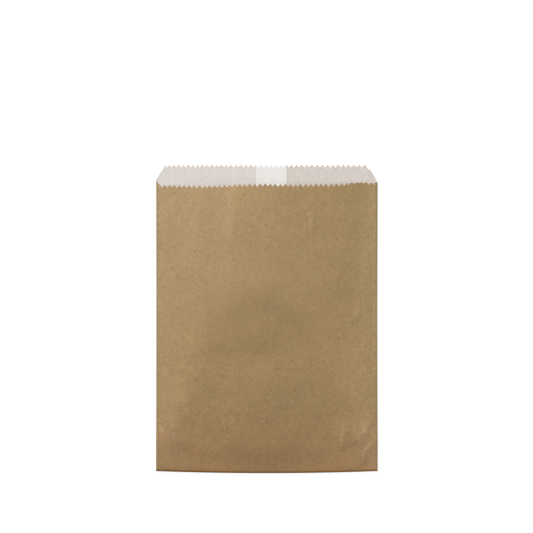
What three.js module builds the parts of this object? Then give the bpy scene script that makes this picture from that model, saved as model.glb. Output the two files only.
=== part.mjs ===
// A flat paper bag for hot food: a brown kraft tube with a white greaseproof tube inside it.
// Both plies are cut by one sawtooth knife, lapped along the back, and folded up together at the bottom.
// The bag lies on its back, mouth towards +Y, with the front panel swelling up a little off the back panel.
// Millimetres, +Z up. The origin is the middle of the bag's plan, on the surface that it lies on.

import * as THREE from "three";

// The bag pressed flat
const WIDTH = 140; // across the two side folds
const LENGTH = 195; // from the bottom fold to the tips of the back panel's teeth
const LIP_STEP = 12.7; // how much lower the knife cuts the front panel than the back panel
const CORNER_DROP = 8.7; // how far the cut has come down where it crosses a side fold
const CORNER_RUN = 5.6; // how far inside the side fold the cut starts to come down, on the back panel
const BACK_TUCK = 5; // how far the back panel runs past the bottom fold
const TOOTH_PITCH = 3.175; // an eighth of an inch
const TOOTH_DEPTH = 2;

// The two papers
const KRAFT_THICKNESS = 0.08;
const LINER_THICKNESS = 0.05;
const PLY_GAP = 0.03; // air between any two plies
const FOLD_GAP = 0.04; // air between the back panel and the flap folded up against it

// The seam down the back, where each paper laps over itself
const SEAM_X = -6.9; // the edge that the kraft lap and the liner lap share
const KRAFT_LAP = 14; // the kraft laps to the left of that edge
const LINER_LAP = 19.5; // the liner laps to the right of it
const SEAM_RAMP = 1.5; // the run over which a ply climbs onto the ply below

// How the bag stands open
const BELLY_RISE = 8.5; // the front panel above the back panel, at the fullest part
const BELLY_PLACE = 85; // the fullest part, above the bottom fold
const MOUTH_RISE = 7; // the same at the mouth
const SIDE_PULL = 0.3; // how far the swelling draws each side fold in
const BOTTOM_BOW = 1.3; // how far the bottom fold bows out in the middle
const BOW_FADE = 60; // the height at which that bow has died away
const FLAP_REST = 12; // past the flap, the run over which the back panel comes down to the surface

// The facets
const COLUMN_STEP = 12; // the widest facet
const ROW_STEP = 17; // the longest facet
const FOLD_FACETS = 4; // facets round a fold
const EDGE_BAND = 0.6; // plain paper between the roots of the teeth and the first row of facets
const NEAREST_TOOTH = 0.02; // a tip or root nearer than this to a column of facets is left out
const ROUNDING = 1e-9;

// Heights of the plies' middles in the pressed stack, from the back panel's outer face up
const LAP_RISE = Math.max(KRAFT_THICKNESS, LINER_THICKNESS) + PLY_GAP;
const PLY_STEP = (KRAFT_THICKNESS + LINER_THICKNESS) / 2 + PLY_GAP;
const KRAFT_BACK = KRAFT_THICKNESS / 2;
const LINER_BACK = KRAFT_BACK + PLY_STEP;
const LINER_FRONT = LINER_BACK + LAP_RISE + LINER_THICKNESS + PLY_GAP;
const KRAFT_FRONT = LINER_FRONT + PLY_STEP;
const STACK = KRAFT_FRONT + KRAFT_THICKNESS / 2;

// Where the folds lie
const SIDE_FOLD_X = WIDTH / 2 - STACK / 2; // where the panels end and the side folds begin
const FOLD_RADIUS = FOLD_GAP / 2 + STACK; // the bottom fold's outer radius
const FOLD_ALLOWANCE = Math.PI * (FOLD_GAP / 2 + STACK / 2); // paper that the bottom fold takes up
const BOTTOM_Y = BOTTOM_BOW + FOLD_RADIUS; // where the bottom fold begins, from the bag's lowest point
const TOP_S = LENGTH - BOTTOM_Y - TOOTH_DEPTH / 2; // the middle of the back panel's teeth, above the fold
const FLAP_DEPTH = BACK_TUCK + LIP_STEP; // the front panel's run past the bottom fold

const CORNER_SLOPE = CORNER_DROP / CORNER_RUN;

// 0 to 1 with level ends
function ease(t) {
  const u = THREE.MathUtils.clamp(t, 0, 1);
  return u * u * (3 - 2 * u);
}

// Evenly spaced values from one to another, both included, none further apart than the step
function spread(from, to, step) {
  const parts = Math.max(1, Math.ceil(Math.abs(to - from) / step - ROUNDING));
  return Array.from({ length: parts + 1 }, (_, k) => from + ((to - from) * k) / parts);
}

// The section of one ply across the bag, from its seam edge on the left of the back panel,
// round the left fold, over the front and round the right fold, to its other seam edge.
// Each station has x, the height of the ply's middle in the stack, the outward direction, and its panel.
function section(ply) {
  const back = (x, lapped) => ({ x, height: ply.back + lapped * LAP_RISE, out: [0, -1], panel: "back" });
  const climb = (x) => ease((x - (ply.climbX - SEAM_RAMP)) / SEAM_RAMP);
  const corner = WIDTH / 2 - CORNER_RUN;
  const lap = spread(ply.upperEdge, ply.climbX, COLUMN_STEP);
  const ramp = spread(ply.climbX, ply.climbX - SEAM_RAMP, SEAM_RAMP / 2).slice(1);
  const plainLeft = spread(ply.climbX - SEAM_RAMP, -corner, COLUMN_STEP).slice(1);
  const cornerLeft = spread(-corner, -SIDE_FOLD_X, CORNER_RUN / 2).slice(1);
  const left = [...lap, ...ramp, ...plainLeft, ...cornerLeft].map((x) => back(x, climb(x)));

  const middle = (ply.front + ply.back) / 2;
  const radius = (ply.front - ply.back) / 2;
  const round = (side) =>
    spread(-Math.PI / 2, Math.PI / 2, Math.PI / FOLD_FACETS)
      .slice(1, -1)
      .map((angle) => ({
        x: side * (SIDE_FOLD_X + radius * Math.cos(angle)),
        height: middle + radius * Math.sin(angle),
        out: [side * Math.cos(angle), Math.sin(angle)],
        panel: angle < 0 ? "back" : "front",
      }));

  const frontCorner = WIDTH / 2 - (LIP_STEP - CORNER_DROP) / CORNER_SLOPE;
  const front = [
    -SIDE_FOLD_X,
    ...spread(-frontCorner, frontCorner, COLUMN_STEP),
    SIDE_FOLD_X,
  ].map((x) => ({ x, height: ply.front, out: [0, 1], panel: "front", swells: true }));

  const cornerRight = spread(SIDE_FOLD_X, corner, CORNER_RUN / 2);
  const plainRight = spread(corner, ply.lowerEdge, COLUMN_STEP).slice(1);
  const right = [...cornerRight, ...plainRight].map((x) => back(x, 0));
  return [...left, ...round(-1), ...front, ...round(1).reverse(), ...right];
}

// The knife's line round the tube, measured up from its level on the back panel:
// level over the back, slanting down across each side fold, and level again, lower, over the front.
function knifeLevel(x, panel) {
  const inside = WIDTH / 2 - Math.abs(x);
  if (panel === "back") return Math.min(0, (inside - CORNER_RUN) * CORNER_SLOPE);
  return Math.max(-LIP_STEP, -CORNER_DROP - inside * CORNER_SLOPE);
}

// The same with its teeth, which stop where the knife slants
function knifeLine(x, panel) {
  const level = knifeLevel(x, panel);
  const slants = level < 0 && level > -LIP_STEP + ROUNDING;
  const phase = x / TOOTH_PITCH - Math.floor(x / TOOTH_PITCH);
  return slants ? level : level + TOOTH_DEPTH * (Math.abs(2 * phase - 1) - 0.5);
}

// The tips and roots of the teeth that lie strictly between two stations of a panel
function toothPoints(from, to) {
  if (from.panel !== to.panel) return [];
  const half = TOOTH_PITCH / 2;
  const low = Math.min(from.x, to.x) + NEAREST_TOOTH;
  const high = Math.max(from.x, to.x) - NEAREST_TOOTH;
  const xs = [];
  for (let k = Math.ceil(low / half); k * half < high; k += 1) xs.push(k * half);
  const level = (x) => knifeLevel(x, from.panel);
  const flat = xs.filter((x) => level(x) === 0 || level(x) <= -LIP_STEP + ROUNDING);
  if (from.x > to.x) flat.reverse();
  return flat.map((x) => ({ ...blendStations(from, to, (x - from.x) / (to.x - from.x)), x }));
}

function blendStations(from, to, t) {
  return { ...from, height: THREE.MathUtils.lerp(from.height, to.height, t) };
}

// How far the front panel stands off the back panel
function swelling(x, s) {
  const across = 1 - Math.min(1, Math.abs(x) / SIDE_FOLD_X) ** 2;
  const rising = BELLY_RISE * ease(s / BELLY_PLACE);
  const falling = (BELLY_RISE - MOUTH_RISE) * ease((s - BELLY_PLACE) / (TOP_S - BELLY_PLACE));
  return across * (rising - falling);
}

// Puts a point of the pressed stack where it lies: x across, s up from the bottom fold, h up through the stack
function place(x, s, h) {
  const turn = THREE.MathUtils.clamp(-s / FOLD_ALLOWANCE, 0, 1) * Math.PI;
  const radius = FOLD_GAP / 2 + h;
  const beyond = Math.max(0, s) + Math.max(0, -s - FOLD_ALLOWANCE);
  const bow = BOTTOM_BOW * (1 - (2 * x / WIDTH) ** 2) * (1 - ease(s / BOW_FADE));
  const settled = ease((s - FLAP_DEPTH) / FLAP_REST) * (FOLD_GAP + STACK);
  const drawnIn = SIDE_PULL * Math.sin(Math.PI * THREE.MathUtils.clamp(s / TOP_S, 0, 1)) ** 2;
  return new THREE.Vector3(
    x * (1 - drawnIn / (WIDTH / 2)),
    BOTTOM_Y + beyond - radius * Math.sin(turn) - bow,
    radius * Math.cos(turn) - FOLD_GAP / 2 - settled,
  );
}

// A sheet of paper: its flat pattern in facets, folded to shape and given its thickness
function sheetGeometry(ply) {
  const stations = section(ply);
  const points = [];
  const faces = [];
  const add = (station, s) => points.push({ station, s }) - 1;

  // Columns of points, one column to a station, on the plain paper between the two cuts
  const rowShares = spread(0, 1, ROW_STEP / TOP_S);
  const foldRows = spread(-FOLD_ALLOWANCE, 0, FOLD_ALLOWANCE / FOLD_FACETS);
  const flapRows = [FLAP_DEPTH, FLAP_DEPTH + FLAP_REST / 2, FLAP_DEPTH + FLAP_REST];
  const plainFrom = FLAP_DEPTH + FLAP_REST;
  const columns = stations.map((station) => {
    const level = knifeLevel(station.x, station.panel);
    const first = -BACK_TUCK + level + TOOTH_DEPTH / 2 + EDGE_BAND;
    const last = TOP_S + level - TOOTH_DEPTH / 2 - EDGE_BAND;
    const plainRows = rowShares.slice(1).map((share) => THREE.MathUtils.lerp(plainFrom, last, share));
    return [first, ...foldRows, ...flapRows, ...plainRows].map((s) => add(station, s));
  });
  for (let i = 0; i + 1 < columns.length; i += 1) {
    for (let j = 0; j + 1 < columns[i].length; j += 1) {
      const [a, b, c, d] = [columns[i][j], columns[i + 1][j], columns[i + 1][j + 1], columns[i][j + 1]];
      faces.push([a, b, c], [a, c, d]);
    }
  }

  // The paper between the ends of the columns and a cut: a strip up to the line of the teeth's roots,
  // and the teeth on that line. They point up the bag where side is 1, and down it where side is -1.
  const addTeeth = (base, cutS, side) => {
    const cutLine = (at) => cutS + knifeLine(at.x, at.panel);
    const rootLine = (at) => cutS + knifeLevel(at.x, at.panel) - (side * TOOTH_DEPTH) / 2;
    const face = (...corners) => faces.push(side > 0 ? corners : corners.reverse());
    const post = (at) => {
      const foot = add(at, rootLine(at));
      const short = Math.abs(cutLine(at) - rootLine(at)) < NEAREST_TOOTH;
      return { foot, top: short ? foot : add(at, cutLine(at)) };
    };
    // The paper over the root line from one post to the next, under the tip between them if there is one
    const addPeak = (left, right, tip) => {
      const outline = [...new Set([left.foot, right.foot, right.top, ...tip, left.top])];
      for (let k = 2; k < outline.length; k += 1) face(outline[0], outline[k - 1], outline[k]);
    };
    const posts = stations.map(post);
    for (let i = 0; i + 1 < stations.length; i += 1) {
      const along = [posts[i]];
      let tip = [];
      for (const tooth of toothPoints(stations[i], stations[i + 1])) {
        if (side * (cutLine(tooth) - rootLine(tooth)) > TOOTH_DEPTH / 2) {
          tip = [add(tooth, cutLine(tooth))];
        } else {
          along.push(post(tooth));
          addPeak(along.at(-2), along.at(-1), tip);
          tip = [];
        }
      }
      along.push(posts[i + 1]);
      addPeak(along.at(-2), along.at(-1), tip);

      const half = Math.floor(along.length / 2);
      along.slice(1).forEach((next, k) => face(base[k + 1 < half ? i : i + 1], next.foot, along[k].foot));
      face(base[i], base[i + 1], along[half - 1].foot);
    }
  };
  addTeeth(columns.map((column) => column.at(-1)), TOP_S, 1);
  addTeeth(columns.map((column) => column[0]), -BACK_TUCK, -1);
  return thicken(points, faces, ply.thickness);
}

// The folded sheet as a closed solid: an outer skin, an inner skin and a wall round the edge
function thicken(points, faces, thickness) {
  const skin = (side) =>
    points.map(({ station, s }) => {
      const offset = (side * thickness) / 2;
      const lift = station.swells ? swelling(station.x, s) : 0;
      const placed = place(station.x + station.out[0] * offset, s, station.height + station.out[1] * offset);
      return placed.setZ(placed.z + lift);
    });
  const vertices = [...skin(1), ...skin(-1)];
  const inner = points.length;
  const triangles = [...faces, ...faces.map(([a, b, c]) => [c + inner, b + inner, a + inner])];
  const used = new Set(faces.flatMap(([a, b, c]) => [`${a},${b}`, `${b},${c}`, `${c},${a}`]));
  for (const edge of used) {
    const [a, b] = edge.split(",").map(Number);
    if (!used.has(`${b},${a}`)) triangles.push([b, a, a + inner], [b, a + inner, b + inner]);
  }
  const geometry = new THREE.BufferGeometry().setFromPoints(vertices);
  geometry.setIndex(triangles.flat());
  geometry.computeVertexNormals();
  return geometry;
}

function kraftBag() {
  const ply = {
    thickness: KRAFT_THICKNESS,
    back: KRAFT_BACK,
    front: KRAFT_FRONT,
    upperEdge: SEAM_X,
    lowerEdge: SEAM_X - KRAFT_LAP,
    climbX: SEAM_X - KRAFT_LAP,
  };
  const kraft = new THREE.MeshStandardMaterial({ color: 0xa2875f, roughness: 0.8, metalness: 0 });
  const mesh = new THREE.Mesh(sheetGeometry(ply), kraft);
  mesh.name = "kraft_bag";
  return mesh;
}

function greaseproofLiner() {
  const ply = {
    thickness: LINER_THICKNESS,
    back: LINER_BACK,
    front: LINER_FRONT,
    upperEdge: SEAM_X + LINER_LAP,
    lowerEdge: SEAM_X + PLY_GAP,
    climbX: SEAM_X - KRAFT_LAP,
  };
  const paper = new THREE.MeshStandardMaterial({ color: 0xd9d2cc, roughness: 0.6, metalness: 0 });
  const mesh = new THREE.Mesh(sheetGeometry(ply), paper);
  mesh.name = "greaseproof_liner";
  return mesh;
}

const bag = new THREE.Group();
bag.add(kraftBag(), greaseproofLiner());
bag.position.set(0, -LENGTH / 2, FOLD_GAP + STACK);

export default bag;
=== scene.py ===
import math
import random

import bmesh
import bpy
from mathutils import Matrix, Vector, noise


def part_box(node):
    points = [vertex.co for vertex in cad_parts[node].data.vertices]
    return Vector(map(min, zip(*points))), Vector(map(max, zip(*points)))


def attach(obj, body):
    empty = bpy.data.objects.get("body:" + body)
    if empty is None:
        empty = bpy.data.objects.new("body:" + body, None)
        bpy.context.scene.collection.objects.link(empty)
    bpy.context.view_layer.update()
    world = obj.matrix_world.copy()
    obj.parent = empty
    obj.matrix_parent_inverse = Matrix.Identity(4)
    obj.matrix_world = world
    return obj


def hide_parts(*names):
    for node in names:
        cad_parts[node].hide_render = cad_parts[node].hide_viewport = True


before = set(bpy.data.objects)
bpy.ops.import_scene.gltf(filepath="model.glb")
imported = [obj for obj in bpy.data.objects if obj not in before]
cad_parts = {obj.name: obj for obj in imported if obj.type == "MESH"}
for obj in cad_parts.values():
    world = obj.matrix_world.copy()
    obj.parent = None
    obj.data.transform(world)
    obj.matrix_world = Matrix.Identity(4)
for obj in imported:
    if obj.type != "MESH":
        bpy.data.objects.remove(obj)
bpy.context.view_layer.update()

# The bag lies on its back, mouth towards +Y, and the camera looks straight down on it.
# Lengths are in millimetres up to the point where a vertex is placed.
MM = 0.001

# The bag pressed flat
low, high = (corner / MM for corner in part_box("kraft_bag"))
WIDTH = high.x - low.x
LENGTH = high.y - low.y
LIP_STEP = 12.7
CORNER_DROP = 8.7
CORNER_RUN = 5.6
BACK_TUCK = 5
TOOTH_PITCH = 3.175
TOOTH_DEPTH = 2

# The two papers, and the air between them
KRAFT_THICKNESS = 0.08
LINER_THICKNESS = 0.05
PLY_GAP = 0.03
FOLD_GAP = 0.04
LINER_SHORT_OF_KRAFT = 0.22

# The seam down the back
SEAM_X = -6.9
KRAFT_LAP = 14
LINER_LAP = 19.5
SEAM_RAMP = 1.5

# How the bag stands open; FULLNESS then takes the whole relief of the front down together
MOUTH_RISE = 10.5
ROOF_FALL = 0.93
ROOF_ROUNDING = 30
ROOF_EDGE = 10
LEFT_HEM = 1
RIGHT_HEM = 5
RIGHT_HEM_BULGE = 6
RIGHT_HEM_BULGE_S = 88
FOOT_SLOPE = 0.065
FOOT_SPRING = 1
FOOT_HUMP = 1.35
FULLNESS = 0.84
SIDE_PULL = 0.13
BOTTOM_BOW = 1.3
BOW_FADE = 60
FLAP_REST = 12

# The mesh
FRONT_STEP = TOOTH_PITCH / 4
BACK_STEP = TOOTH_PITCH / 2
ROW_STEP = 1.5
FLAP_ROWS = 8
MOUTH_ROWS = 13
MOUTH_STRETCH = 14
FOLD_FACETS = 6
EDGE_ROW = 0.35

# Heights of the plies' middles in the pressed stack, from the back panel's outer face up
LAP_RISE = max(KRAFT_THICKNESS, LINER_THICKNESS) + PLY_GAP
PLY_STEP = (KRAFT_THICKNESS + LINER_THICKNESS) / 2 + PLY_GAP
KRAFT_BACK = KRAFT_THICKNESS / 2
LINER_BACK = KRAFT_BACK + PLY_STEP
LINER_FRONT = LINER_BACK + LAP_RISE + LINER_THICKNESS + PLY_GAP
KRAFT_FRONT = LINER_FRONT + PLY_STEP
STACK = KRAFT_FRONT + KRAFT_THICKNESS / 2

# Where the folds lie
SIDE_FOLD_X = WIDTH / 2 - STACK / 2
FOLD_RADIUS = FOLD_GAP / 2 + STACK
FOLD_ALLOWANCE = math.pi * (FOLD_GAP / 2 + STACK / 2)
BOTTOM_Y = BOTTOM_BOW + FOLD_RADIUS
TOP_S = LENGTH - BOTTOM_Y - TOOTH_DEPTH / 2
FLAP_DEPTH = BACK_TUCK + LIP_STEP
PANEL_TOP = TOP_S - LIP_STEP - MOUTH_STRETCH
CORNER_SLOPE = CORNER_DROP / CORNER_RUN

# The photograph's frame, how many millimetres a pixel of it is, and the camera over it
IMAGE_SIZE = 533
BAG_WIDTH_PX = 221.4
BAG_MIDDLE_PX = (266.88, 318.9)
PIXEL = WIDTH / BAG_WIDTH_PX
CAMERA_DISTANCE = 800


def clamp(value, lowest=0.0, highest=1.0):
    return max(lowest, min(highest, value))


def ease(t):
    """0 to 1 with level ends."""
    t = clamp(t)
    return t * t * (3 - 2 * t)


def bell(distance, width):
    return math.exp(-((distance / width) ** 2))


def lerp(a, b, t):
    return a + (b - a) * t


def smaller(a, b, rounding):
    """The smaller of two heights, rounded over where they cross."""
    h = clamp(0.5 + (b - a) / (2 * rounding))
    return lerp(b, a, h) - rounding * h * (1 - h)


def spread(start, end, step):
    parts = max(1, math.ceil(abs(end - start) / step - 1e-9))
    return [lerp(start, end, k / parts) for k in range(parts + 1)]


def from_pixel(px, py):
    """A place in the photograph, as millimetres across the bag and up from its bottom fold."""
    across = (px - BAG_MIDDLE_PX[0]) * PIXEL
    up = (BAG_MIDDLE_PX[1] - py) * PIXEL
    return across, up + LENGTH / 2 - BOTTOM_Y


# The knife's line

TOOTH_COUNT = 24
TIPS_AND_ROOTS = range(-2 * TOOTH_COUNT, 2 * TOOTH_COUNT + 1)
tooth_dice = random.Random(7)
TOOTH_SHIFT = {k: tooth_dice.uniform(-0.28, 0.28) for k in TIPS_AND_ROOTS}
TOOTH_SIZE = {k: tooth_dice.uniform(0.8, 1.15) for k in TIPS_AND_ROOTS}
# Where the middle tip is, the pitch there, and half of what the pitch widens by from tooth to tooth
BACK_TEETH = (-0.57, 3.175, 0.00625)
FRONT_TEETH = (-1.1, 3.185, 0.0008)
# The teeth over the front are shallower round here
WORN_TEETH_X = from_pixel(360, 185)[0]
WORN_TEETH_REACH = 6


def tooth_x(k, panel):
    """Where the k-th tip or root lies, tips at even k: the pitch widens a little to the right."""
    start, pitch, widening = BACK_TEETH if panel == "back" else FRONT_TEETH
    n = k / 2
    shift = TOOTH_SHIFT[k if panel == "back" else -k]
    return start + pitch * n + widening * n * n + shift


# How many pixels the photograph's lip stands above its level, from place to place across it
LIP_WAVE = (
    (150, 0), (160, 0.1), (180, -0.3), (190, -0.7), (205, -1.3), (218, -1.1), (225, -0.7),
    (235, -0.3), (255, 0.2), (265, 0.5), (285, 0), (305, 0), (325, 0.6), (345, 1.3),
    (352, 2.8), (358, 3.3), (365, 3.6), (370, 2.4), (373.5, 3), (377.2, -1.6), (384, -1.6),
)


def lip_wave(x):
    """How far the cut over the front strays from its level, in millimetres."""
    across = x / PIXEL + BAG_MIDDLE_PX[0]
    for (start, first), (end, second) in zip(LIP_WAVE, LIP_WAVE[1:]):
        if start <= across < end:
            return PIXEL * lerp(first, second, ease((across - start) / (end - start)))
    return 0.0


# The right end of the cut over the back: from its last tip, by a small notch, down to the side fold
RIGHT_END_PX = ((365.6, 165.2), (368.6, 170.3), (370.2, 169.4), (377.6, 182.4))
RIGHT_END = [from_pixel(*spot) for spot in RIGHT_END_PX]


def knife_level(x, panel):
    """The cut without its teeth, from its level on the back panel."""
    inside = WIDTH / 2 - abs(x)
    if panel == "front":
        return max(-LIP_STEP, -CORNER_DROP - inside * CORNER_SLOPE)
    if x <= RIGHT_END[0][0]:
        return min(0.0, (inside - CORNER_RUN) * CORNER_SLOPE)
    for (start, first), (end, second) in zip(RIGHT_END, RIGHT_END[1:]):
        if x <= end:
            break
    return lerp(first, second, (x - start) / (end - start)) - TOP_S


def knife_line(x, panel):
    level = knife_level(x, panel)
    past_teeth = panel == "back" and x > RIGHT_END[0][0]
    if past_teeth or -LIP_STEP + 1e-6 < level < -1e-6:
        return level
    depth = TOOTH_DEPTH
    if panel == "front":
        depth *= 1 - 0.6 * bell(x - WORN_TEETH_X, WORN_TEETH_REACH)
    for k in TIPS_AND_ROOTS[1:-1]:
        left, right = tooth_x(k, panel), tooth_x(k + 1, panel)
        if left <= x <= right:
            ends = [TOOTH_SIZE[j] * (0.5 if j % 2 == 0 else -0.5) for j in (k, k + 1)]
            return level + depth * lerp(*ends, (x - left) / (right - left))
    return level


def tooth_columns(start, end, panel, between):
    """Columns on each tip and root from one place to another, with others between them, and the two ends."""
    points = []
    for k in TIPS_AND_ROOTS[1:-1]:
        left, right = tooth_x(k, panel), tooth_x(k + 1, panel)
        points += [lerp(left, right, j / between) for j in range(between)]
    # Columns too near the two ends would make slivers
    near = 0.12
    inside = [x for x in points if min(start, end) + near < x < max(start, end) - near]
    if end < start:
        inside.reverse()
    return [start, *inside, end]


# The section of one ply across the bag

class Ply:
    def __init__(self, name, thickness, back, front, upper_edge, lower_edge, climb_x, inside=0.0):
        self.name = name
        self.thickness = thickness
        self.back = back
        self.front = front
        self.upper_edge = upper_edge
        self.lower_edge = lower_edge
        self.climb_x = climb_x
        # How far its cut stands inside the knife's line over the back
        self.inside = inside
        self.radius = (front - back) / 2

    def stations(self):
        """Each has x, its height in the stack, its panel, and its run: how far along the sheet it is."""
        corner = WIDTH / 2 - CORNER_RUN
        front_corner = WIDTH / 2 - (LIP_STEP - CORNER_DROP) / CORNER_SLOPE
        middle = (self.front + self.back) / 2
        quarter = math.pi / 2
        half_turn = math.pi * self.radius

        def left_back(x):
            climbed = ease((x - (self.climb_x - SEAM_RAMP)) / SEAM_RAMP)
            run = -(x + 2 * SIDE_FOLD_X + half_turn)
            # Over the lap its cut comes up to the knife's line
            inside = self.inside * ease((SEAM_X - x) / 0.5)
            height = self.back + climbed * LAP_RISE
            return {"x": x, "height": height, "panel": "back", "run": run, "inside": inside}

        def right_back(x):
            run = 2 * SIDE_FOLD_X + half_turn - x
            return {"x": x, "height": self.back, "panel": "back", "run": run, "inside": self.inside}

        def front_panel(x):
            return {"x": x, "height": self.front, "panel": "front", "run": x, "swells": True}

        def around(side, angle):
            return {
                "x": side * (SIDE_FOLD_X + self.radius * math.cos(angle)),
                "height": middle + self.radius * math.sin(angle),
                "panel": "back" if angle < 0 else "front",
                "run": side * (SIDE_FOLD_X + self.radius * (quarter - angle)),
            }

        ramp = spread(self.climb_x, self.climb_x - SEAM_RAMP, SEAM_RAMP / 4)
        left = tooth_columns(self.upper_edge, self.climb_x, "back", 1)
        left += ramp[1:]
        left += tooth_columns(ramp[-1], -corner, "back", 1)[1:]
        left += spread(-corner, -SIDE_FOLD_X, BACK_STEP)[1:]
        angles = spread(-quarter, quarter, math.pi / FOLD_FACETS)[1:-1]
        front = spread(-SIDE_FOLD_X, -front_corner, FRONT_STEP)
        front += tooth_columns(-front_corner, front_corner, "front", 2)[1:]
        front += spread(front_corner, SIDE_FOLD_X, FRONT_STEP)[1:]
        last_tip, notch, last_corner = (x for x, s in RIGHT_END[:3])
        right = spread(SIDE_FOLD_X, last_corner, BACK_STEP)
        right += [notch, *tooth_columns(last_tip, self.lower_edge, "back", 1)]
        return [
            *[left_back(x) for x in left],
            *[around(-1, angle) for angle in angles],
            *[front_panel(x) for x in front],
            *[around(1, angle) for angle in reversed(angles)],
            *[right_back(x) for x in right],
        ]

    def rows(self):
        """Each is a stretch of the sheet and a share of the way up it, with a cut at either end."""
        panel_rows = math.ceil(PANEL_TOP / ROW_STEP)
        flap = [("flap", t / FLAP_ROWS) for t in range(FLAP_ROWS + 1)]
        fold = [("fold", t / FOLD_FACETS) for t in range(1, FOLD_FACETS + 1)]
        panel = [("panel", t / panel_rows) for t in range(1, panel_rows + 1)]
        mouth = [("mouth", t / MOUTH_ROWS) for t in range(1, MOUTH_ROWS + 1)]
        return [("cut", 0), *flap, *fold, *panel, *mouth, ("cut", 1)]

    def row_s(self, row, station):
        """How far up the bag a row crosses a station, from the bottom fold."""
        stretch, t = row
        level = knife_level(station["x"], station["panel"])
        plain = TOOTH_DEPTH / 2 + EDGE_ROW
        wave = lip_wave(station["x"]) if station["panel"] == "front" else 0
        if stretch == "cut":
            line = knife_line(station["x"], station["panel"])
            return TOP_S + line + wave - station.get("inside", 0) if t else -BACK_TUCK + line
        if stretch == "flap":
            return lerp(-BACK_TUCK + level + plain, -FOLD_ALLOWANCE, t)
        if stretch == "fold":
            return lerp(-FOLD_ALLOWANCE, 0, t)
        if stretch == "panel":
            return lerp(0, PANEL_TOP, t)
        return lerp(PANEL_TOP, TOP_S + level - plain + wave, t)


# The relief of the front panel

def roof(x, s):
    """Two flanks that meet in a broad, rounded middle, a little lower towards the bottom fold."""
    def bend(across):
        return math.sqrt(1 + (across / ROOF_ROUNDING) ** 2) - 1

    right_hem = RIGHT_HEM + RIGHT_HEM_BULGE * bell(s - RIGHT_HEM_BULGE_S, 36)
    reach = SIDE_FOLD_X - (right_hem if x > 0 else LEFT_HEM)
    share = 1 - bend(smaller(abs(x), reach, ROOF_EDGE)) / bend(reach)
    return MOUTH_RISE * share * lerp(ROOF_FALL, 1, s / TOP_S)


def foot(x, s):
    """The slope up from the bottom fold, steeper in the middle and at the fold."""
    slope = FOOT_SLOPE * lerp(0.8, 1.05, bell(x, 42))
    spring = FOOT_SPRING * bell(x, 30) * ease(s / 18)
    hump = FOOT_HUMP * bell(x, 55) * ease(s / 60)
    return slope * s + spring + hump


def swelling(x, s):
    """The foot's slope and the roof, rounded over where they meet, and more so towards the sides."""
    settled = ease((s - FLAP_DEPTH) / FLAP_REST) * (FOLD_GAP + STACK)
    edge = ease((SIDE_FOLD_X - abs(x)) / 9)
    uneven = 0.15 * ease(s / 40) * noise.noise(Vector((x / 18, s / 18, 7.7)))
    rounding = lerp(1, 0.45, bell(x, 22))
    return FULLNESS * smaller(foot(x, s) + uneven, roof(x, s), rounding) + settled * edge


class Crease:
    """A ridge (or a valley, where the rise is negative) between two pixels of the photograph."""

    # How round its crest is, and how far its slopes reach, as shares of their width
    CREST = 0.25
    REACH = 5
    # How far it runs on past its ends, as a share of its length
    RUN_ON = 0.35

    def __init__(self, start, end, rise, left, right):
        self.start = Vector(from_pixel(*start))
        self.along = Vector(from_pixel(*end)) - self.start
        self.length = self.along.length
        self.along.normalize()
        self.rise = rise
        # How wide its slopes are to the left and right of someone going from start to end
        self.left = left
        self.right = right

    def height(self, x, s):
        offset = Vector((x, s)) - self.start
        far = offset.dot(self.along)
        right_of = offset.x * self.along.y - offset.y * self.along.x
        width = self.right if right_of > 0 else self.left
        run_on = self.RUN_ON * self.length
        from_start = far + run_on
        to_end = self.length + run_on - far
        if abs(right_of) > self.REACH * width or from_start <= 0 or to_end <= 0:
            return 0.0
        fade = ease(from_start / (2 * run_on)) * ease(to_end / (2 * run_on))
        return self.rise * fade * math.exp(self.CREST - math.hypot(right_of / width, self.CREST))


CREASES = [
    # The ridge down from the mouth, left of the middle, and a broader one beside it
    Crease((233, 300), (236, 182), 0.6, 7, 26),
    Crease((234.5, 240), (235.5, 180), 0.5, 7, 14),
    Crease((200, 322), (202, 160), 0.8, 12, 12),
    # Right of it, a shallow valley and a finer ridge
    Crease((312, 262), (306, 182), -0.5, 9, 12),
    Crease((312, 235), (313, 188), 0.25, 1.8, 3.5),
    # Beside the right side fold
    Crease((363, 262), (364, 182), -0.5, 6, 6),
    # Over the left flank
    Crease((213, 389), (194, 340), 0.3, 5, 2),
    Crease((190, 420), (182, 394), 0.3, 2.8, 3.6),
    Crease((186, 446), (171, 420), 0.35, 3.4, 2.6),
    # Across the foot
    Crease((185, 357), (295, 354), -0.4, 12, 17),
    # Over the lower right corner
    Crease((342, 446), (346, 424), 0.4, 2.4, 5),
    Crease((355, 440), (377, 417), 0.35, 2.4, 2.4),
    Crease((361, 461), (375, 440), 0.3, 2.4, 3),
    # A short one halfway up, on the right
    Crease((352, 326), (360, 308), 0.15, 2, 2),
]


def front_relief(x, s):
    """The front panel's height above the pressed stack."""
    free = ease((SIDE_FOLD_X - abs(x)) / 5) * ease(s / 5)
    creased = sum(crease.height(x, s) for crease in CREASES)
    spot = Vector((x / 14, s / 22, 3.1))
    rumple = 0.16 * noise.noise(spot) + 0.07 * noise.noise(spot * 2.3)
    return max(0.0, swelling(x, s) + FULLNESS * free * (creased + rumple))


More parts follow.
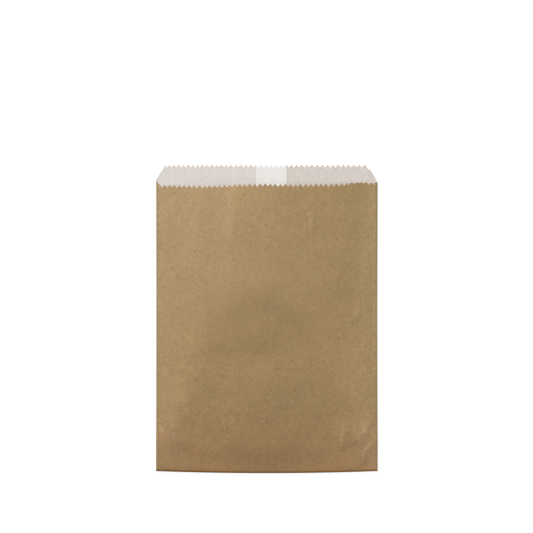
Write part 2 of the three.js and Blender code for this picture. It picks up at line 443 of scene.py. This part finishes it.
def place(x, s, h):
    """Puts a point of the pressed stack where it lies."""
    turn = clamp(-s / FOLD_ALLOWANCE) * math.pi
    radius = FOLD_GAP / 2 + h
    beyond = max(0.0, s) + max(0.0, -s - FOLD_ALLOWANCE)
    bow = BOTTOM_BOW * (1 - (2 * x / WIDTH) ** 2) * (1 - ease(s / BOW_FADE))
    settled = ease((s - FLAP_DEPTH) / FLAP_REST) * (FOLD_GAP + STACK)
    drawn_in = SIDE_PULL * math.sin(math.pi * clamp(s / TOP_S)) ** 2
    return Vector((
        x * (1 - drawn_in / (WIDTH / 2)),
        BOTTOM_Y + beyond - radius * math.sin(turn) - bow - LENGTH / 2,
        radius * math.cos(turn) - FOLD_GAP / 2 - settled + FOLD_GAP + STACK,
    ))


def folded_sheet(ply, finish):
    """A grid of the flat sheet, each vertex moved to where the folded sheet has it, and thickened."""
    stations = ply.stations()
    rows = ply.rows()
    bm = bmesh.new()
    bmesh.ops.create_grid(bm, x_segments=len(stations) - 1, y_segments=len(rows) - 1, size=0.5)
    flat = bm.loops.layers.uv.new("sheet")
    for face in bm.faces:
        for loop in face.loops:
            i = round((loop.vert.co.x + 0.5) * (len(stations) - 1))
            j = round((loop.vert.co.y + 0.5) * (len(rows) - 1))
            loop[flat].uv = (stations[i]["run"] * MM, ply.row_s(rows[j], stations[i]) * MM)
    for vert in bm.verts:
        i = round((vert.co.x + 0.5) * (len(stations) - 1))
        j = round((vert.co.y + 0.5) * (len(rows) - 1))
        station = stations[i]
        s = ply.row_s(rows[j], station)
        spot = place(station["x"], s, station["height"])
        if "swells" in station:
            spot.z += front_relief(station["x"], s)
        vert.co = spot * MM
    for face in bm.faces:
        face.smooth = True
    for edge in bm.edges:
        edge.smooth = not edge.is_boundary
    mesh = bpy.data.meshes.new(ply.name)
    bm.to_mesh(mesh)
    bm.free()
    piece = bpy.data.objects.new(ply.name, mesh)
    bpy.context.scene.collection.objects.link(piece)
    mesh.materials.append(finish)
    paper = piece.modifiers.new("paper", "SOLIDIFY")
    paper.thickness = ply.thickness * MM
    paper.offset = 0
    return piece


# Materials

class Value:
    """A socket of a material's node tree, with arithmetic that adds Math nodes."""

    def __init__(self, tree, socket):
        self.tree = tree
        self.socket = socket

    def math(self, operation, *others):
        inputs = {0: self, **dict(enumerate(others, 1))}
        return node(self.tree, "ShaderNodeMath", {"operation": operation}, inputs)

    def __add__(self, other):
        return self.math("ADD", other)

    def __radd__(self, other):
        return self.math("ADD", other)

    def __sub__(self, other):
        return self.math("SUBTRACT", other)

    def __rsub__(self, other):
        return node(self.tree, "ShaderNodeMath", {"operation": "SUBTRACT"}, {0: other, 1: self})

    def __mul__(self, other):
        return self.math("MULTIPLY", other)

    def __rmul__(self, other):
        return self.math("MULTIPLY", other)

    def __abs__(self):
        return self.math("ABSOLUTE")


def node(tree, kind, settings=None, inputs=None, output=0):
    """Adds one node: its settings first, then the values or links of its sockets. Returns one output."""
    def socket_of(sockets, key):
        named = {socket.identifier: socket for socket in sockets}
        return named.get(key) or sockets[key]

    made = tree.nodes.new(kind)
    for name, value in (settings or {}).items():
        setattr(made, name, value)
    for key, value in (inputs or {}).items():
        socket = socket_of(made.inputs, key)
        if isinstance(value, Value):
            tree.links.new(value.socket, socket)
        else:
            socket.default_value = value
    return Value(tree, socket_of(made.outputs, output))


def srgb(red, green, blue):
    """A colour as seen, in levels of 255, as the linear colour that a shader takes."""
    def linear(level):
        v = level / 255
        return v / 12.92 if v <= 0.04045 else ((v + 0.055) / 1.055) ** 2.4
    return (linear(red), linear(green), linear(blue), 1)


def new_material(name):
    material = bpy.data.materials.new(name)
    material.use_nodes = True
    tree = material.node_tree
    return material, tree, tree.nodes["Principled BSDF"]


def sheet_place(tree, stretch=(1, 1), turn=0.0):
    """The place on the flat sheet in millimetres, squeezed along its two directions and then turned."""
    uv = node(tree, "ShaderNodeUVMap", {"uv_map": "sheet"})
    inputs = {"Vector": uv, "Scale": (stretch[0] / MM, stretch[1] / MM, 1), "Rotation": (0, 0, turn)}
    return node(tree, "ShaderNodeMapping", {}, inputs)


def noise_of(tree, size, stretch=(1, 1), detail=2.0, roughness=0.5, turn=0.5):
    """Soft noise about 0, from about -1 to 1, whose blots are about size millimetres."""
    spot = sheet_place(tree, stretch, turn)
    inputs = {"Vector": spot, "Scale": 1 / size, "Detail": detail, "Roughness": roughness}
    return (node(tree, "ShaderNodeTexNoise", {"noise_dimensions": "2D"}, inputs) - 0.5) * 2


def speckle(tree, size, channel):
    """A level from -1 to 1 for each of many small random cells."""
    inputs = {"Vector": sheet_place(tree, turn=0.9), "Scale": 1 / size}
    cells = node(tree, "ShaderNodeTexVoronoi", {"voronoi_dimensions": "2D"}, inputs, "Color")
    return (node(tree, "ShaderNodeSeparateColor", {}, {0: cells}, channel) - 0.5) * 2


def between(tree, value, start, end):
    """0 below start, 1 above end, smooth between."""
    settings = {"interpolation_type": "SMOOTHSTEP"}
    return node(tree, "ShaderNodeMapRange", settings, {"Value": value, "From Min": start, "From Max": end})


def band(tree, value, middle, inner, outer):
    """1 within the inner distance of the middle, 0 past the outer one."""
    return 1 - between(tree, abs(value - middle), inner, outer)


def blend(tree, factor, first, second):
    """The first colour at a factor of 0, the second at 1."""
    settings = {"data_type": "RGBA", "clamp_factor": True}
    inputs = {"Factor_Float": factor, "A_Color": first, "B_Color": second}
    return node(tree, "ShaderNodeMix", settings, inputs, "Result_Color")


def scaled(tree, colour, amount):
    """A colour made lighter or darker by a factor that changes over the surface."""
    grey = node(tree, "ShaderNodeCombineColor", {}, {0: amount, 1: amount, 2: amount})
    settings = {"data_type": "RGBA", "blend_type": "MULTIPLY", "clamp_factor": False}
    inputs = {"Factor_Float": 1.0, "A_Color": colour, "B_Color": grey}
    return node(tree, "ShaderNodeMix", settings, inputs, "Result_Color")


def part_of(tree, vector, axis):
    return node(tree, "ShaderNodeSeparateXYZ", {}, {0: vector}, axis)


def vectors(tree, operation, first, second, output=0):
    return node(tree, "ShaderNodeVectorMath", {"operation": operation}, {0: first, 1: second}, output)


def flecks(tree, spacing, radius, share, stretch=(1, 1)):
    """1 inside small scattered specks: one to a cell of the spacing, in that share of the cells."""
    flat = sheet_place(tree, stretch)
    settings = {"noise_dimensions": "2D"}
    wander = node(tree, "ShaderNodeTexNoise", settings, {"Vector": flat, "Scale": 0.035}, "Color")
    spot = vectors(tree, "ADD", vectors(tree, "MULTIPLY", wander, (16, 16, 0)), flat)
    settings = {"voronoi_dimensions": "2D", "feature": "F1"}
    inputs = {"Vector": spot, "Scale": 1 / spacing}
    distance = node(tree, "ShaderNodeTexVoronoi", settings, inputs, "Distance")
    colour = node(tree, "ShaderNodeTexVoronoi", settings, inputs, "Color")
    chance = node(tree, "ShaderNodeSeparateColor", {}, {0: colour}, 0)
    chosen = chance.math("LESS_THAN", share)
    inside = 1 - between(tree, distance, radius / spacing * 0.5, radius / spacing)
    return chosen * inside


def streak(tree, start, end, width):
    """1 along a line between two pixels of the photograph, fading to its sides and ends."""
    first, last = Vector(from_pixel(*start)), Vector(from_pixel(*end))
    along = (last - first).normalized()
    half = (last - first).length / 2
    middle = (first + last) / 2
    spot = vectors(tree, "SUBTRACT", sheet_place(tree), (*middle, 0))
    far = vectors(tree, "DOT_PRODUCT", spot, (*along, 0), "Value")
    aside = vectors(tree, "DOT_PRODUCT", spot, (along.y, -along.x, 0), "Value")
    return band(tree, aside, 0, 0.1 * width, width) * band(tree, far, 0, 0.3 * half, half)


# Painted highlights along creases, where the paper's sheen catches the light: the pixels of their ends, how
# wide in millimetres, how strong
CREASE_HIGHLIGHTS = [
    ((310.5, 196), (308.5, 238), 1.1, 0.15),
    ((229.5, 172), (228, 256), 4.5, 0.14),
    ((182, 396), (188, 414), 1.6, 0.34),
    ((171, 418), (177, 444), 2.2, 0.34),
    ((157, 424), (170, 438), 1.2, 0.34),
    ((201, 412), (200, 452), 1.2, 0.2),
    ((226, 438), (237, 408), 1.3, 0.18),
    ((341, 450), (342.5, 416), 1.8, 0.3),
    ((354, 443), (372, 422), 3.4, 0.42),
    ((361.5, 460), (364, 447), 1.2, 0.5),
    ((363, 450), (371, 441), 1.5, 0.34),
    ((373, 426), (377, 428), 1.1, 0.4),
    ((357, 322), (355, 310), 1.2, 0.2),
]


def kraft_finish():
    """Matt brown kraft: mottled and flecked, with painted highlights at its creases, a painted sheen on its
    flanks, and painted shade along its folds and towards the bottom fold.
    """
    material, tree, shader = new_material("kraft_paper")
    clouds = noise_of(tree, 3.4, detail=3, roughness=0.6)
    blotches = noise_of(tree, 22)
    tint = noise_of(tree, 6)
    fine_tint = noise_of(tree, 0.45, detail=1, roughness=0.7)
    along = noise_of(tree, 0.9, stretch=(1.4, 0.5), turn=0)
    lumps = noise_of(tree, 1.1, roughness=0.6, turn=1.1)
    grain = noise_of(tree, 0.5, roughness=0.7) + speckle(tree, 0.5, 0) * 0.3
    fibres = along * 0.3 + lumps * 0.75

    sheet = sheet_place(tree)
    run = part_of(tree, sheet, 0)
    up = part_of(tree, sheet, 1)
    from_middle = abs(run)

    # The paper's colours, each in a yellower and a redder tone of its mottle; darker and redder down towards
    # the bottom fold and less blue at the top right: painted shade, the warmer tone of the parts that face
    # away from the light
    reddish = tint * 0.15 + fine_tint * 0.3 + speckle(tree, 0.5, 1) * 0.45
    reddish = between(tree, reddish, -0.65, 0.65)
    top = blend(tree, reddish, srgb(165, 143.3, 101), srgb(165, 132.8, 101))
    shaded_top_right = blend(tree, reddish, srgb(165, 143.3, 97), srgb(165, 132.8, 97))
    low = blend(tree, reddish, srgb(165, 142, 96.5), srgb(165, 131.5, 95.5))
    shaded_foot = blend(tree, reddish, srgb(166, 137.8, 93.5), srgb(166, 127.3, 92.5))
    colour = blend(tree, between(tree, run, -50, 40), top, shaded_top_right)
    colour = blend(tree, between(tree, up, 60, 140), low, colour)
    colour = blend(tree, between(tree, up, 10, 50), shaded_foot, colour)
    # A little greyer towards the side folds: a painted sheen on the flanks
    colour = blend(tree, between(tree, from_middle, 45, 69) * 0.08, colour, srgb(154, 143, 126))

    # Its grain, calmer in the middle of the front
    smoothed = between(tree, up, 60, 95) * (1 - between(tree, up, 120, 160))
    smoothed = smoothed * (1 - between(tree, from_middle, 25, 55))
    grained = clouds * 0.13 + fibres * 0.16 + grain * 0.24
    shade = 1 + blotches * 0.03 + grained * (1 - smoothed * 0.4)
    colour = scaled(tree, colour, shade)

    # Specks of darker and paler fibre
    dark_specks = flecks(tree, 6.4, 0.45, 0.28)
    brown_specks = flecks(tree, 2.9, 0.36, 0.35, (1, 0.6))
    pale_specks = flecks(tree, 3.3, 0.4, 0.3, (0.6, 1))
    colour = blend(tree, dark_specks * 0.5, colour, srgb(84, 62, 36))
    colour = blend(tree, brown_specks * 0.28, colour, srgb(120, 92, 60))
    colour = blend(tree, pale_specks * 0.28, colour, srgb(196, 174, 134))

    # Along the side folds: painted shade on the fold itself, a darker line beside it, and pale scuffs
    side_fold_shade = band(tree, from_middle, SIDE_FOLD_X + 0.3, 0.25, 0.75)
    line_beside_fold = band(tree, from_middle, SIDE_FOLD_X - 0.9, 0.12, 0.42)
    scuffs = between(tree, noise_of(tree, 1.1, stretch=(0.2, 1), turn=0), -0.05, 0.5)
    scuffed = band(tree, from_middle, SIDE_FOLD_X - 1.5, 0.1, 0.5) * scuffs * between(tree, up, 20, 80)
    colour = blend(tree, side_fold_shade * 0.4, colour, srgb(128, 96, 58))
    colour = blend(tree, line_beside_fold * 0.3, colour, srgb(118, 88, 52))
    colour = blend(tree, scuffed * 0.4, colour, srgb(208, 192, 160))

    # Painted highlights along the creases, broken up by the mottle
    patches = between(tree, lumps + clouds, -0.5, 0.5)
    highlight_colour = srgb(196, 172, 140)
    for start, end, width, strength in CREASE_HIGHLIGHTS:
        crease = streak(tree, start, end, width)
        colour = blend(tree, crease * patches * strength, colour, highlight_colour)

    # The bottom fold: painted shade, a little darker just above it and a deep orange-brown line on the fold
    # itself, where it turns away from the light
    shade_near_fold = 1 - between(tree, up, 1, 5)
    bottom_fold_shade = band(tree, up, -0.2, 0.75, 1.15)
    colour = blend(tree, shade_near_fold * 0.12, colour, srgb(110, 78, 44))
    colour = blend(tree, bottom_fold_shade * 0.8, colour, srgb(146, 98, 46))
    tree.links.new(colour.socket, shader.inputs["Base Color"])

    roughness = 0.8 + clouds * 0.05 + grain * 0.05
    tree.links.new(roughness.socket, shader.inputs["Roughness"])
    shader.inputs["Specular IOR Level"].default_value = 0.15
    relief = fibres * 0.5 + grain * 0.35 + clouds * 0.4
    bump = node(tree, "ShaderNodeBump", {}, {"Strength": 0.5, "Distance": 0.00003, "Height": relief})
    tree.links.new(bump.socket, shader.inputs["Normal"])
    return material


def liner_finish(lap):
    """The greaseproof: the kraft shows through one ply of it, and less where it laps itself."""
    material, tree, shader = new_material("greaseproof_paper")
    clouds = noise_of(tree, 2.6, detail=3, roughness=0.6)
    blotches = noise_of(tree, 14)
    grain = noise_of(tree, 0.6)

    run = part_of(tree, sheet_place(tree), 0)
    start, end = lap
    lap_starts = between(tree, run, start - 0.3, start + 0.3)
    lap_ends = between(tree, run, end - 0.1, end + 0.1)
    doubled = lap_starts * (1 - lap_ends)

    # One ply is mottled by the kraft behind it, more so on the right
    mottle = grain * 1.4 + speckle(tree, 0.55, 0) * 0.75 + clouds * 0.25
    mottle = between(tree, mottle, -0.4, 0.8)
    greyer = blend(tree, mottle, srgb(216, 210, 205), srgb(204, 196, 188))
    browner = blend(tree, mottle, srgb(210, 203, 197), srgb(196, 186.5, 177))
    single = blend(tree, between(tree, run, 0, 60), greyer, browner)
    colour = blend(tree, doubled, single, srgb(225, 222, 218.5))
    shade = 1 + blotches * 0.006 + (clouds * 0.012 + grain * 0.05) * (1 - doubled)
    colour = scaled(tree, colour, shade)
    tree.links.new(colour.socket, shader.inputs["Base Color"])
    roughness = 0.5 + clouds * 0.05
    tree.links.new(roughness.socket, shader.inputs["Roughness"])
    shader.inputs["Specular IOR Level"].default_value = 0.4
    bump = node(tree, "ShaderNodeBump", {}, {"Strength": 0.4, "Distance": 0.00002, "Height": clouds + grain})
    tree.links.new(bump.socket, shader.inputs["Normal"])
    return material


# The bag

kraft_ply = Ply(
    "kraft_sheet", KRAFT_THICKNESS, KRAFT_BACK, KRAFT_FRONT,
    upper_edge=SEAM_X, lower_edge=SEAM_X - KRAFT_LAP, climb_x=SEAM_X - KRAFT_LAP,
)
liner_ply = Ply(
    "greaseproof_sheet", LINER_THICKNESS, LINER_BACK, LINER_FRONT,
    upper_edge=SEAM_X + LINER_LAP, lower_edge=SEAM_X + PLY_GAP, climb_x=SEAM_X - KRAFT_LAP,
    inside=LINER_SHORT_OF_KRAFT,
)
liner_turn = 2 * SIDE_FOLD_X + math.pi * liner_ply.radius
liner_lap = (-(liner_ply.upper_edge + liner_turn), -(SEAM_X + liner_turn))

kraft_sheet = folded_sheet(kraft_ply, kraft_finish())
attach(kraft_sheet, "root")
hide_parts("kraft_bag")

greaseproof_sheet = folded_sheet(liner_ply, liner_finish(liner_lap))
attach(greaseproof_sheet, "root")
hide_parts("greaseproof_liner")


# The floor, the lights and the camera

def pale_floor():
    """A pale floor that the camera sees as white, less the bag's shadow."""
    bm = bmesh.new()
    bmesh.ops.create_grid(bm, x_segments=1, y_segments=1, size=12)
    mesh = bpy.data.meshes.new("floor")
    bm.to_mesh(mesh)
    bm.free()
    floor = bpy.data.objects.new("floor", mesh)
    bpy.context.scene.collection.objects.link(floor)

    material, tree, shader = new_material("pale_floor")
    shader.inputs["Base Color"].default_value = (0.8, 0.8, 0.8, 1)
    shader.inputs["Roughness"].default_value = 0.9
    seen = node(tree, "ShaderNodeBsdfDiffuse", {}, {"Color": (0.08, 0.08, 0.08, 1)})
    white = node(tree, "ShaderNodeEmission", {}, {"Color": (1, 1, 1, 1), "Strength": 0.95})
    both = node(tree, "ShaderNodeAddShader", {}, {0: seen, 1: white})
    light_path = tree.nodes.new("ShaderNodeLightPath")
    camera_ray = Value(tree, light_path.outputs["Is Camera Ray"])
    glossy_ray = Value(tree, light_path.outputs["Is Glossy Ray"])
    through_ray = Value(tree, light_path.outputs["Is Transmission Ray"])
    shown = camera_ray + glossy_ray + through_ray
    principled = Value(tree, shader.outputs[0])
    mixed = node(tree, "ShaderNodeMixShader", {}, {0: shown, 1: principled, 2: both})
    tree.links.new(mixed.socket, tree.nodes["Material Output"].inputs["Surface"])
    mesh.materials.append(material)


def area_light(name, spot, aim, size, power):
    light = bpy.data.lights.new(name, "AREA")
    light.shape = "DISK"
    light.size = size
    light.energy = power
    lamp = bpy.data.objects.new(name, light)
    bpy.context.scene.collection.objects.link(lamp)
    lamp.location = spot
    lamp.rotation_euler = (Vector(aim) - Vector(spot)).to_track_quat("-Z", "Y").to_euler()


pale_floor()

# A low light from beyond the mouth, a little to the left, and a weak one from the right
area_light("key", (-0.66, 1.81, 0.5), (0, 0, 0), 0.5, 92.5)
area_light("side", (0.9, -0.1, 0.6), (0, 0, 0), 0.6, 4)

world = bpy.data.worlds.new("studio")
world.use_nodes = True
world.node_tree.nodes["Background"].inputs["Color"].default_value = (1, 1, 1, 1)
world.node_tree.nodes["Background"].inputs["Strength"].default_value = 0.25
bpy.context.scene.world = world
bpy.context.scene.view_settings.view_transform = "Standard"

lens = bpy.data.cameras.new("camera")
lens.sensor_fit = "HORIZONTAL"
lens.angle = 2 * math.atan(IMAGE_SIZE * PIXEL / 2 / CAMERA_DISTANCE)
camera = bpy.data.objects.new("camera", lens)
bpy.context.scene.collection.objects.link(camera)
middle_x, middle_s = from_pixel(IMAGE_SIZE / 2, IMAGE_SIZE / 2)
camera.location = Vector((middle_x, middle_s + BOTTOM_Y - LENGTH / 2, CAMERA_DISTANCE)) * MM
bpy.context.scene.camera = camera
